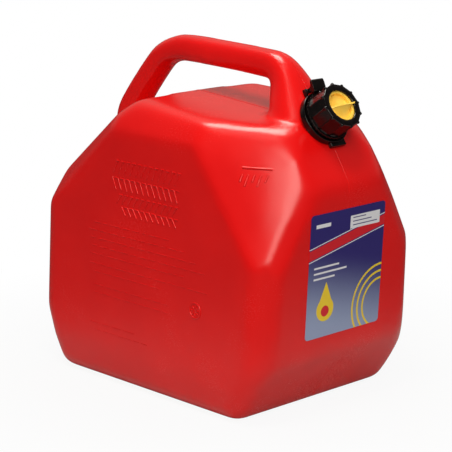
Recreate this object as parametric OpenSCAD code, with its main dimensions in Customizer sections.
// Self-venting fuel can of twenty litres: a blow-moulded faceted tank with a hollow handle,
// a screw collar on a tilted neck, a yellow stopper with a finger fin, a child lock on a ring
// around the neck, and a pouring spout stored upside down inside the tank.
// Millimetres, +Z up, +X towards the front panel, the base on z = 0.

/* [Tank] */
// length of the tank between the rear and front panels
body_length = 364; // [339:1:389]
// width of the tank between the upper edges of the side panels
body_width = 230; // [215:1:245]
// height of the top face at mid length
body_height = 317; // [310:1:325]
// wall thickness of the moulding
wall = 2.4; // [1.8:0.1:3]
// radius of every outer edge
edge_radius = 19.5; // [15:0.5:23]
// width cut from each upright front corner before it is rounded
front_chamfer = 21; // [15:0.5:27]
// width cut from each upright rear corner before it is rounded
rear_chamfer = 12; // [6:0.5:18]
// fall of the top face towards the front, degrees
top_tilt = 4.7; // [3:0.1:6]
// backward lean of the front panel towards its foot, degrees
front_lean = 3.4; // [2:0.1:5]
// outward lean of the rear panel towards its foot, degrees
rear_lean = 1.4; // [0.5:0.1:2.5]
// outward lean of the side panels towards their feet, degrees
side_lean = 2; // [1:0.1:3]

/* [Shoulders] */
// height of the front panel's upper edge
front_edge_height = 246.2; // [239:0.1:253]
// slope of the shoulder that carries the neck, degrees
front_slope = 56; // [52:0.5:60]
// height of the rear panel's upper edge
rear_edge_height = 223; // [215:1:230]
// slope of the rear shoulder, degrees
rear_slope = 37; // [35:0.5:40]
// height of the side panels' upper edges
side_edge_height = 288; // [280:1:294]
// slope of the roof strips above the side panels, degrees
roof_slope = 59; // [54:1:64]
// height where the front corner facets start
front_facet_height = 144; // [134:0.5:154]
// heading of the front corner facets from the front, degrees
front_facet_turn = 56; // [53:0.1:59]
// upward lean of the front corner facets, degrees
front_facet_lean = 24.4; // [22:0.1:27]
// depth cut from the edge between each corner facet and the front panel
facet_edge_cut = 5.7; // [4:0.1:7]
// height where the rear corner facets start
rear_facet_height = 177; // [165:1:188]
// heading of the rear corner facets from the rear, degrees
rear_facet_turn = 57; // [54:0.1:60]
// upward lean of the rear corner facets, degrees
rear_facet_lean = 31.2; // [28:0.1:34]
// how far the front panel's foot draws in
front_foot_inset = 42; // [34:1:50]
// height of the drawn-in foot at the front
front_foot_height = 66; // [56:1:76]
// how far the rear panel's foot draws in
rear_foot_inset = 27; // [20:1:34]
// height of the drawn-in foot at the rear
rear_foot_height = 67; // [57:1:77]
// how far the side panels' feet draw in
side_foot_inset = 5; // [3:0.5:8]
// height of the drawn-in feet at the sides
side_foot_height = 40; // [32:1:48]

/* [Handle] */
// height of the handle's highest point
grip_height = 380.5; // [374:0.5:390]
// thickness of the grip bar
grip_thickness = 29.5; // [27:0.5:31]
// width of the grip bar
grip_width = 30; // [27:0.5:34]

/* [Neck] */
// height of the neck's foot point on the front shoulder
neck_foot_height = 309; // [304:0.5:312]
// bore of the neck
neck_bore = 37.2; // [36.6:0.1:37.8]
// outside diameter of the neck under its thread
neck_diameter = 42; // [41.6:0.1:42.4]
// height of the neck's mouth above the shoulder
neck_height = 26; // [25:0.1:27]
// rise of the thread in one turn
thread_pitch = 6; // [5.6:0.1:6.4]
// height of the thread ridges
thread_depth = 1.3; // [1:0.05:1.5]
// turns of thread on the neck and in the collar
thread_turns = 2; // [1.5:0.25:2]
// gap between the two threads, on their flanks and crests
thread_gap = 0.4; // [0.3:0.05:0.5]

/* [Neck ring] */
// outside diameter of the ring around the neck's foot
ring_diameter = 58; // [57:0.5:60]
// height of the ring's rim
ring_height = 7.5; // [7:0.1:8]
// thickness of the ring's foot plate
ring_plate = 2.6; // [2:0.1:3]
// thickness of the ring's rim
ring_rim = 1.6; // [1.2:0.1:1.8]
// gap between the ring's foot and the shoulder
ring_seat_gap = 0.4; // [0.3:0.1:0.6]
// radial gap between the ring and the neck
ring_fit = 0.05; // [0.02:0.01:0.1]
// width of the flat lug at the ring's lower side
lug_width = 22; // [18:1:24]
// reach of the lug beyond the ring
lug_reach = 3.5; // [2:0.5:4]
// height of the lug
lug_height = 4.5; // [3.5:0.5:6]

/* [Child lock] */
// width of the lock lever between its ears
lever_width = 14; // [12:0.5:16]
// width of the lever's thumb pad
pad_width = 18.4; // [16:0.2:20]
// thickness of the lock lever
lever_thickness = 2.4; // [2:0.1:3]
// height of the lever's thumb pad above the shoulder
lever_height = 15; // [14:0.5:17]
// reach of the thumb pad behind the lever
pad_reach = 8; // [6:0.5:9]
// radius of the lever's trunnions
trunnion_radius = 1.6; // [1.4:0.1:1.8]
// radial gap of the trunnions in the ring's ears
trunnion_fit = 0.05; // [0.03:0.01:0.1]
// height of the trunnions above the shoulder
trunnion_height = 3.8; // [3.6:0.1:4.2]
// thickness of the ring's ears
ear_thickness = 2; // [1.6:0.1:2.6]
// gap between the lever and each ear
ear_gap = 0.3; // [0.2:0.05:0.4]

/* [Collar] */
// diameter across the corners of the collar's twelve panels
collar_diameter = 49.4; // [49:0.1:50]
// height of the collar's rim above the shoulder
collar_height = 35.5; // [35:0.1:36]
// diameter of the collar's opening
collar_opening = 34; // [33:0.1:34.6]
// thickness of the collar's lip over the stopper
lip_thickness = 2.4; // [2:0.1:2.8]
// height of the collar's lower edge above the shoulder
collar_clearance = 3.6; // [3.4:0.1:4]
// number of grip ribs
rib_count = 12; // [10:1:14]
// radius of each grip rib
rib_radius = 1.2; // [0.9:0.1:1.4]
// number of ratchet teeth above the ring
tooth_count = 36; // [30:1:40]
// height of the ratchet teeth
tooth_height = 2.6; // [2:0.1:3]

/* [Stopper and spout] */
// thickness of the stopper's flange
stopper_flange = 1.9; // [1.7:0.1:2.1]
// diameter of the stopper's cup
stopper_cup = 32.4; // [31.6:0.1:32.6]
// depth of the stopper's floor below the collar's rim
stopper_recess = 6.5; // [6:0.1:7]
// thickness of the stopper's walls and fin
stopper_wall = 1.6; // [1.3:0.1:1.9]
// height of the finger fin above the stopper's floor
fin_height = 6; // [5:0.1:7]
// thickness of each flat gasket
gasket_thickness = 1.5; // [1.3:0.05:1.6]
// thickness of the spout's flange
spout_flange = 2; // [1.8:0.1:2.1]
// length of the spout below its flange
spout_length = 192; // [170:1:210]
// diameter of the spout's tube below its socket
spout_diameter = 26; // [24:0.5:27]
// diameter of the spout's tip
spout_tip = 22; // [20.5:0.5:23]
// wall thickness of the spout
spout_wall = 1.7; // [1.4:0.1:1.9]
// diameter of the breather tube
vent_diameter = 6; // [5.4:0.1:6.4]
// length of the breather tube
vent_length = 150; // [130:1:160]

/* [Label] */
// width of the front label
label_width = 114; // [100:1:120]
// height of the front label
label_height = 135; // [120:1:140]
// thickness of the label film
label_film = 0.4; // [0.3:0.05:0.6]
// height of the label's centre
label_centre_height = 154; // [149:1:159]
// distance of the label's centre from the middle of the panel
label_offset = 0; // [-5:1:5]

/* [Hidden] */
$fn = 64;
overlap = 0.5;
// the origin lies under the middle of the base, behind the middle of the length
length_shift = 4.5;
front_reach = body_length / 2 + length_shift;
rear_reach = body_length / 2 - length_shift;
half_width = body_width / 2;
// the tank's foot reaches this far below the floor before it is cut flat
base_trim = 0.8;
sphere_sides = 32;

// sections of the handle
grip_sides = 24;
grip_squareness = 2.6;
steps_between = 3;

// clearances between the pieces around the neck
part_gap = 0.1;
flange_clearance = 0.4;
socket_clearance = 0.4;
stopper_clearance = 0.9;
gasket_clearance = 0.8;
tooth_clearance = 0.4;
pawl_clearance = 0.6;
lever_clearance = 2;

// small sizes of the moulded details
thread_sink = 0.3;
thread_taper = 0.45;
thread_lead = 3.5;
thread_runout = 0.75;
bead_reach = 1.6;
bead_height = 1;
ear_wall = 1.6;
lug_offset = 4;
heel_wall = 1;
tooth_depth = 1.2;
tooth_lift = 0.6;
vent_wall = 1;

// places along the neck's axis, above the shoulder
neck_radius = neck_diameter / 2;
spout_flange_base = neck_height + gasket_thickness;
spout_flange_top = spout_flange_base + spout_flange;
disc_gasket_base = spout_flange_top + part_gap;
lip_base = collar_height - lip_thickness;
stopper_top = lip_base - part_gap;
stopper_flange_base = stopper_top - stopper_flange;
stopper_floor_top = collar_height - stopper_recess;
thread_start = ring_height + thread_lead;

// radii around the neck's axis
thread_crest = neck_radius + thread_depth;
collar_bore = thread_crest + thread_gap;
collar_crest = collar_bore - thread_depth;
bead_radius = collar_bore - bead_reach;
stopper_flange_radius = collar_bore - stopper_clearance;
spout_flange_radius = neck_radius - flange_clearance;
spout_socket_radius = neck_bore / 2 - socket_clearance;
tooth_radius = ring_diameter / 2 - ring_rim - tooth_clearance;

// the lever's pivot behind the ring
lever_x = -ring_diameter / 2 - trunnion_radius - lever_clearance;
ear_inner = lever_width / 2 + ear_gap;
ear_outer = ear_inner + ear_thickness;
ear_radius = trunnion_radius + ear_wall;

// the neck's frame: its foot lies on the front shoulder
neck_foot_x = front_shoulder_x(neck_foot_height);

// one plane as its outward unit normal and its distance from the origin
function plane(n, p) = [n / norm(n), n * p / norm(n)];

// heading and upward lean to a direction
function aim(turn, lean, fore, side) =
    [fore * cos(turn) * cos(lean), side * sin(turn) * cos(lean), sin(lean)];

// where the front panel and the shoulders lie
function front_panel_x(z) = front_reach - (front_edge_height - z) * tan(front_lean);
function front_shoulder_x(z) = front_reach - (z - front_edge_height) / tan(front_slope);
function rear_panel_x(z) = -rear_reach - (rear_edge_height - z) * tan(rear_lean);
function side_panel_y(z) = half_width + (side_edge_height - z) * tan(side_lean);

// the lowest points of the corner facets, on the upright corners
function front_facet_tip(side) =
    [front_panel_x(front_facet_height), side * side_panel_y(front_facet_height), front_facet_height];
function rear_facet_tip(side) =
    [rear_panel_x(rear_facet_height), side * side_panel_y(rear_facet_height), rear_facet_height];

// halfway between the front panel's direction and a corner facet's
function facet_edge_aim(side) =
    let (n = aim(front_facet_turn, front_facet_lean, 1, side) + aim(0, -front_lean, 1, side))
    n / norm(n);

// the faces of the tank
middle_faces = [
    plane([sin(top_tilt), 0, cos(top_tilt)], [0, 0, body_height]),
    plane([0, 0, -1], [0, 0, -base_trim]),
    plane([1, 0, -tan(front_lean)], [front_reach, 0, front_edge_height]),
    plane([-1, 0, tan(rear_lean)], [-rear_reach, 0, rear_edge_height]),
    plane([sin(front_slope), 0, cos(front_slope)], [front_reach, 0, front_edge_height]),
    plane([-sin(rear_slope), 0, cos(rear_slope)], [-rear_reach, 0, rear_edge_height]),
    plane([front_foot_height, 0, -front_foot_inset],
          [front_panel_x(front_foot_height), 0, front_foot_height]),
    plane([-rear_foot_height, 0, -rear_foot_inset],
          [rear_panel_x(rear_foot_height), 0, rear_foot_height])
];
function side_faces(side) = [
    plane([0, side, tan(side_lean)], [0, side * half_width, side_edge_height]),
    plane([0, side * sin(roof_slope), cos(roof_slope)], [0, side * half_width, side_edge_height]),
    plane([0, side * side_foot_height, -side_foot_inset],
          [0, side * side_panel_y(side_foot_height), side_foot_height]),
    plane(aim(front_facet_turn, front_facet_lean, 1, side), front_facet_tip(side)),
    plane(aim(rear_facet_turn, rear_facet_lean, -1, side), rear_facet_tip(side)),
    plane(facet_edge_aim(side), front_facet_tip(side) - facet_edge_cut * facet_edge_aim(side)),
    plane([1, side, tan(side_lean) - tan(front_lean)], front_facet_tip(side) - [front_chamfer, 0, 0]),
    plane([-1, side, tan(side_lean) + tan(rear_lean)], rear_facet_tip(side) + [rear_chamfer, 0, 0])
];
faces = concat(middle_faces, side_faces(-1), side_faces(1));

// the point where three faces meet once each has moved in by the edge radius
function spin(a, b, c) = a[0] * cross(b[0], c[0]);
function inset(f) = f[1] - edge_radius;
function meeting(a, b, c) =
    (inset(a) * cross(b[0], c[0]) + inset(b) * cross(c[0], a[0]) + inset(c) * cross(a[0], b[0]))
    / spin(a, b, c);
function is_inside(p) = max([for (f = faces) f[0] * p - inset(f)]) < 0.001;
last = len(faces) - 1;
corners = [
    for (i = [0 : last - 2], j = [i + 1 : last - 1], k = [j + 1 : last])
        if (j > i && k > j && abs(spin(faces[i], faces[j], faces[k])) > 0.02)
            let (p = meeting(faces[i], faces[j], faces[k]))
                if (is_inside(p)) p
];

// stations along the handle, from the rear foot to the front foot:
// outer x, outer z, heading from the outside inwards, thickness, half width
half_grip = grip_width / 2;
function front_leg(z, heading, thickness, half) =
    [front_shoulder_x(z) - 0.8, z, heading, thickness, half];
stations = [
    [2 - rear_reach, rear_edge_height - 18, 10, grip_thickness + 6, half_grip + 4],
    [1 - rear_reach, rear_edge_height + 22, 0, grip_thickness + 5, half_grip + 3],
    [4 - rear_reach, grip_height - 97, -22, grip_thickness + 3.5, half_grip + 1.5],
    [19 - rear_reach, grip_height - 71, -36, grip_thickness + 1.5, half_grip + 0.5],
    [57 - rear_reach, grip_height - 27.5, -40, grip_thickness, half_grip],
    [76 - rear_reach, grip_height - 12, -52, grip_thickness - 0.5, half_grip],
    [99 - rear_reach, grip_height - 2.8, -70, grip_thickness - 0.5, half_grip],
    [123 - rear_reach, grip_height, -87, grip_thickness, half_grip],
    [front_reach - 187, grip_height - 1.4, -91, grip_thickness, half_grip],
    [front_reach - 127, grip_height - 4, -93, grip_thickness + 0.5, half_grip],
    [front_reach - 101, grip_height - 7, -106, grip_thickness + 2, half_grip + 1],
    [front_reach - 81, grip_height - 19.5, -134, grip_thickness + 7, half_grip + 4.5],
    front_leg(grip_height - 42, -156, grip_thickness + 14, half_grip + 13),
    front_leg(grip_height - 65, -165, grip_thickness + 22, half_grip + 23),
    front_leg(grip_height - 90, -172, grip_thickness + 34, half_grip + 33)
];

// a smooth curve through the stations
function through(a, b, c, d, t) =
    0.5 * (2 * b + (c - a) * t + (2 * a - 5 * b + 4 * c - d) * t ^ 2 + (3 * b - a - 3 * c + d) * t ^ 3);
function at_end(i) = stations[max(0, min(len(stations) - 1, i))];
run = [
    for (i = [0 : len(stations) - 2], k = [0 : steps_between - 1])
        through(at_end(i - 1), at_end(i), at_end(i + 1), at_end(i + 2), k / steps_between),
    at_end(len(stations) - 1)
];

// one ring of the handle's skin, thinned by the wall on the inside
function rounded(c) = sign(c) * abs(c) ^ (2 / grip_squareness);
function ring(s, skin) =
    let (half = s[3] / 2, inward = [cos(s[2]), 0, sin(s[2])])
    [for (k = [0 : grip_sides - 1])
        let (a = 360 * k / grip_sides)
        [s[0], 0, s[1]] + inward * (half - (half - skin) * rounded(cos(a)))
        + [0, (s[4] - skin) * rounded(sin(a)), 0]];

// skin of a tube through rings of the same number of points
function tube_faces(rings, sides) = concat(
    [[for (k = [sides - 1 : -1 : 0]) k]],
    [for (r = [0 : rings - 2], k = [0 : sides - 1])
        let (n = (k + 1) % sides)
        each [[r * sides + k, (r + 1) * sides + n, (r + 1) * sides + k],
              [r * sides + k, r * sides + n, (r + 1) * sides + n]]],
    [[for (k = [0 : sides - 1]) (rings - 1) * sides + k]]);

// children placed in the neck's frame, with z along its axis and x down the shoulder
module on_neck() {
    translate([neck_foot_x, 0, neck_foot_height])
        rotate([0, front_slope, 0])
            children();
}

module rounded_tank(radius) {
    hull() {
        for (p = corners) {
            translate(p) sphere(radius, $fn = sphere_sides);
        }
    }
}

module handle_tube(skin) {
    polyhedron([for (s = run) each ring(s, skin)], tube_faces(len(run), grip_sides));
}

// a helical ridge of tapered section, from one radius to another
module thread_ridge(root, crest, start, turns) {
    steps = 36;
    count = round(turns * steps);
    root_half = (thread_pitch / 2 - thread_gap) / 2;
    crest_half = root_half - thread_taper;
    section = [[root, -root_half], [crest, -crest_half], [crest, crest_half], [root, root_half]];
    wound = crest > root ? section : [for (k = [3 : -1 : 0]) section[k]];
    points = [
        for (i = [0 : count])
            let (a = 360 * i / steps, z = start + thread_pitch * i / steps)
            each [for (q = wound) [q[0] * cos(a), q[0] * sin(a), z + q[1]]]
    ];
    polyhedron(points, tube_faces(count + 1, 4));
}

module disc(radius, height) {
    cylinder(r = radius, h = height);
}

module flat_ring(outer, inner, height) {
    difference() {
        disc(outer, height);
        translate([0, 0, -overlap]) disc(inner, height + 2 * overlap);
    }
}

module can_body() {
    neck_root = -14;
    bore_root = -38;
    color("red")
    difference() {
        union() {
            rounded_tank(edge_radius);
            handle_tube(0);
            on_neck() {
                translate([0, 0, neck_root]) disc(neck_radius, neck_height - neck_root);
                thread_ridge(neck_radius - thread_sink, thread_crest, thread_start, thread_turns);
            }
        }
        rounded_tank(edge_radius - wall);
        handle_tube(wall);
        on_neck() {
            translate([0, 0, bore_root]) disc(neck_bore / 2, neck_height - bore_root + overlap);
        }
        translate([-body_length, -body_width, -edge_radius])
            cube([2 * body_length, 2 * body_width, edge_radius]);
    }
}

module ear(side) {
    translate([lever_x, side * (ear_inner + ear_outer) / 2, 0])
    difference() {
        union() {
            translate([0, ear_thickness / 2, trunnion_height])
                rotate([90, 0, 0]) disc(ear_radius, ear_thickness);
            translate([0, -ear_thickness / 2, ring_seat_gap])
                cube([-lever_x - ring_diameter / 2 + 2, ear_thickness, ring_plate]);
            translate([-ear_radius, -ear_thickness / 2, ring_seat_gap])
                cube([2 * ear_radius, ear_thickness, trunnion_height - ring_seat_gap]);
        }
        translate([0, ear_thickness, trunnion_height])
            rotate([90, 0, 0]) disc(trunnion_radius + trunnion_fit, 2 * ear_thickness);
    }
}

// the lug starts inside the ring's rim, clear of the teeth
module ring_lug(outer) {
    difference() {
        translate([0, lug_offset - lug_width / 2, ring_seat_gap])
            cube([outer + lug_reach, lug_width, lug_height]);
        disc(outer - ring_rim / 2, ring_height);
    }
}

module neck_ring() {
    outer = ring_diameter / 2;
    bevel = 0.8;
    color("black")
    on_neck() {
        rotate_extrude()
            polygon([
                [neck_radius + ring_fit, ring_seat_gap],
                [outer, ring_seat_gap],
                [outer, ring_height - bevel],
                [outer - bevel, ring_height],
                [outer - ring_rim, ring_height],
                [outer - ring_rim, ring_seat_gap + ring_plate],
                [neck_radius + ring_fit, ring_seat_gap + ring_plate]
            ]);
        ear(-1);
        ear(1);
        ring_lug(outer);
    }
}

// side view of the lever: upright, then curled back to the thumb pad
bend_radius = 5;
bend_turn = 68;
bend_steps = 8;
bend_drop = 3;
bend_base = lever_height - bend_drop;
function bend_point(r, a) =
    [lever_thickness / 2 - bend_radius + r * cos(a), bend_base + r * sin(a)];
function pad_tip(r) =
    let (start = bend_point(r, bend_turn))
    start + [-sin(bend_turn), cos(bend_turn)] * (start[0] + pad_reach) / sin(bend_turn);
function lever_profile() = concat(
    [[lever_thickness / 2, trunnion_height]],
    [for (k = [0 : bend_steps]) bend_point(bend_radius, bend_turn * k / bend_steps)],
    [pad_tip(bend_radius), pad_tip(bend_radius - lever_thickness)],
    [for (k = [bend_steps : -1 : 0])
        bend_point(bend_radius - lever_thickness, bend_turn * k / bend_steps)],
    [[-lever_thickness / 2, trunnion_height]]);

module lock_lever() {
    heel = trunnion_radius + heel_wall;
    pawl_width = 6;
    pawl_height = tooth_height - 0.4;
    pawl_base = ring_height + tooth_lift + (tooth_height - pawl_height) / 2;
    pawl_tip = -tooth_radius - pawl_clearance;
    pad_half = pad_width / 2;
    flare_base = trunnion_height + ear_radius + ear_gap;
    flare_top = lever_height;
    color("black")
    on_neck() {
        translate([lever_x, 0, 0]) {
            translate([0, ear_outer, trunnion_height])
                rotate([90, 0, 0]) disc(trunnion_radius, 2 * ear_outer);
            translate([0, lever_width / 2, trunnion_height])
                rotate([90, 0, 0]) disc(heel, lever_width);
            intersection() {
                translate([0, pad_half, 0])
                    rotate([90, 0, 0])
                        linear_extrude(pad_width)
                            polygon(lever_profile());
                translate([-2 * pad_reach, 0, 0])
                    rotate([90, 0, 90])
                        linear_extrude(4 * pad_reach)
                            polygon([
                                [-lever_width / 2, 0],
                                [lever_width / 2, 0],
                                [lever_width / 2, flare_base],
                                [pad_half, flare_top],
                                [pad_half, 2 * lever_height],
                                [-pad_half, 2 * lever_height],
                                [-pad_half, flare_top],
                                [-lever_width / 2, flare_base]
                            ]);
            }
            translate([0, -pawl_width / 2, pawl_base])
                cube([pawl_tip - lever_x, pawl_width, pawl_height]);
        }
    }
}

module tooth_ring() {
    root = tooth_radius - tooth_depth;
    half_root = 1.3;
    tooth_sink = 0.6;
    tooth_lean = 0.2;
    translate([0, 0, ring_height + tooth_lift]) {
        disc(root, tooth_height);
        for (k = [0 : tooth_count - 1]) {
            rotate([0, 0, 360 * k / tooth_count])
                linear_extrude(tooth_height)
                    polygon([
                        [root - tooth_sink, -half_root],
                        [tooth_radius, tooth_lean - half_root],
                        [root - tooth_sink, half_root]
                    ]);
        }
    }
}

module collar() {
    rib_base = ring_height + 1;
    color("black")
    on_neck() {
        difference() {
            union() {
                translate([0, 0, collar_clearance])
                    cylinder(d = collar_diameter, h = collar_height - collar_clearance, $fn = rib_count);
                for (k = [0 : rib_count - 1]) {
                    rotate([0, 0, 360 * k / rib_count])
                        translate([collar_diameter / 2, 0, rib_base])
                            disc(rib_radius, collar_height - rib_base);
                }
                tooth_ring();
            }
            translate([0, 0, collar_clearance - overlap])
                disc(collar_bore, lip_base - collar_clearance + overlap);
            disc(collar_opening / 2, collar_height + overlap);
        }
        translate([0, 0, stopper_flange_base - part_gap - bead_height])
            flat_ring(collar_bore + thread_sink, bead_radius, bead_height);
        thread_ridge(collar_bore + thread_sink, collar_crest, thread_start + thread_pitch / 2,
                     thread_turns - thread_runout);
    }
}

module closure_disc() {
    cup = stopper_cup / 2;
    floor_base = stopper_floor_top - stopper_wall;
    fin_end = cup - 0.5;
    fin_point = cup - 0.2;
    fin_hollow = cup - 1.6;
    color("gold")
    on_neck() {
        rotate_extrude()
            polygon([
                [0, floor_base],
                [cup, floor_base],
                [cup, stopper_flange_base],
                [stopper_flange_radius, stopper_flange_base],
                [stopper_flange_radius, stopper_top],
                [cup - stopper_wall, stopper_top],
                [cup - stopper_wall, stopper_floor_top],
                [0, stopper_floor_top]
            ]);
        translate([stopper_wall / 2, 0, stopper_floor_top])
            rotate([0, -90, 0])
                linear_extrude(stopper_wall)
                    polygon([
                        [-overlap, -fin_end],
                        [fin_height - 2, -fin_end],
                        [fin_height - 0.4, -cup / 2],
                        [fin_height, 0],
                        [fin_height - 0.3, cup / 2],
                        [fin_height + 1.2, fin_point],
                        [fin_height - 2.4, fin_hollow],
                        [-overlap, fin_end]
                    ]);
    }
}

module disc_gasket() {
    color("dimgray")
    on_neck()
        translate([0, 0, disc_gasket_base])
            flat_ring(spout_flange_radius, stopper_cup / 2 + gasket_clearance,
                      stopper_flange_base - disc_gasket_base);
}

module spout_gasket() {
    color("dimgray")
    on_neck()
        translate([0, 0, neck_height])
            flat_ring(spout_flange_radius, neck_bore / 2 + part_gap, gasket_thickness);
}

// the breather tube lies against the spout's wall
vent_clearance = 0.5;
vent_offset = spout_tip / 2 - spout_wall - vent_diameter / 2 - vent_clearance;
vent_top = -12;

module vent_holder(height) {
    rib_width = 3;
    holder_height = 5;
    holder_wall = 1.4;
    translate([vent_offset, 0, height]) {
        disc(vent_diameter / 2 + holder_wall, holder_height);
        translate([0, -rib_width / 2, 0]) cube([spout_diameter / 2, rib_width, holder_height]);
    }
}

module spout() {
    socket_room = 2;
    socket_taper = 9;
    holder_sink = 0.4;
    upper_holder = vent_top - 15;
    lower_holder = vent_top - vent_length + 30;
    socket = spout_socket_radius;
    tube = spout_diameter / 2;
    tip = spout_tip / 2;
    socket_base = stopper_floor_top - stopper_wall - socket_room;
    shoulder_base = socket_base - socket_taper;
    tip_base = spout_flange_base - spout_length;
    outline = [
        [spout_flange_radius, spout_flange_top],
        [spout_flange_radius, spout_flange_base],
        [socket, spout_flange_base],
        [socket, socket_base],
        [tube, shoulder_base],
        [tip, tip_base]
    ];
    bore = [
        [tip - spout_wall, tip_base],
        [tube - spout_wall, shoulder_base],
        [socket - spout_wall, socket_base],
        [socket - spout_wall, spout_flange_top]
    ];
    color("gold")
    on_neck()
    difference() {
        union() {
            rotate_extrude() polygon(concat(outline, bore));
            intersection() {
                union() {
                    vent_holder(upper_holder);
                    vent_holder(lower_holder);
                }
                rotate_extrude()
                    polygon([
                        [0, tip_base],
                        [tip - holder_sink, tip_base],
                        [tube - holder_sink, shoulder_base],
                        [0, shoulder_base]
                    ]);
            }
        }
        translate([vent_offset, 0, vent_top - vent_length - overlap])
            disc(vent_diameter / 2, vent_length + 2 * overlap);
    }
}

module vent_tube() {
    color("white")
    on_neck()
        translate([vent_offset, 0, vent_top - vent_length])
            flat_ring(vent_diameter / 2, vent_diameter / 2 - vent_wall, vent_length);
}

module front_label() {
    corner = 4;
    color("navy")
    translate([front_panel_x(label_centre_height), label_offset, label_centre_height])
        rotate([0, 90 + front_lean, 0])
            linear_extrude(label_film)
                union() {
                    square([label_height, label_width - 2 * corner], center = true);
                    square([label_height - 2 * corner, label_width], center = true);
                    for (x = [-1, 1], y = [-1, 1]) {
                        translate([x * (label_height / 2 - corner), y * (label_width / 2 - corner)])
                            circle(corner);
                    }
                }
}

can_body();
neck_ring();
lock_lever();
collar();
closure_disc();
disc_gasket();
spout();
spout_gasket();
vent_tube();
front_label();
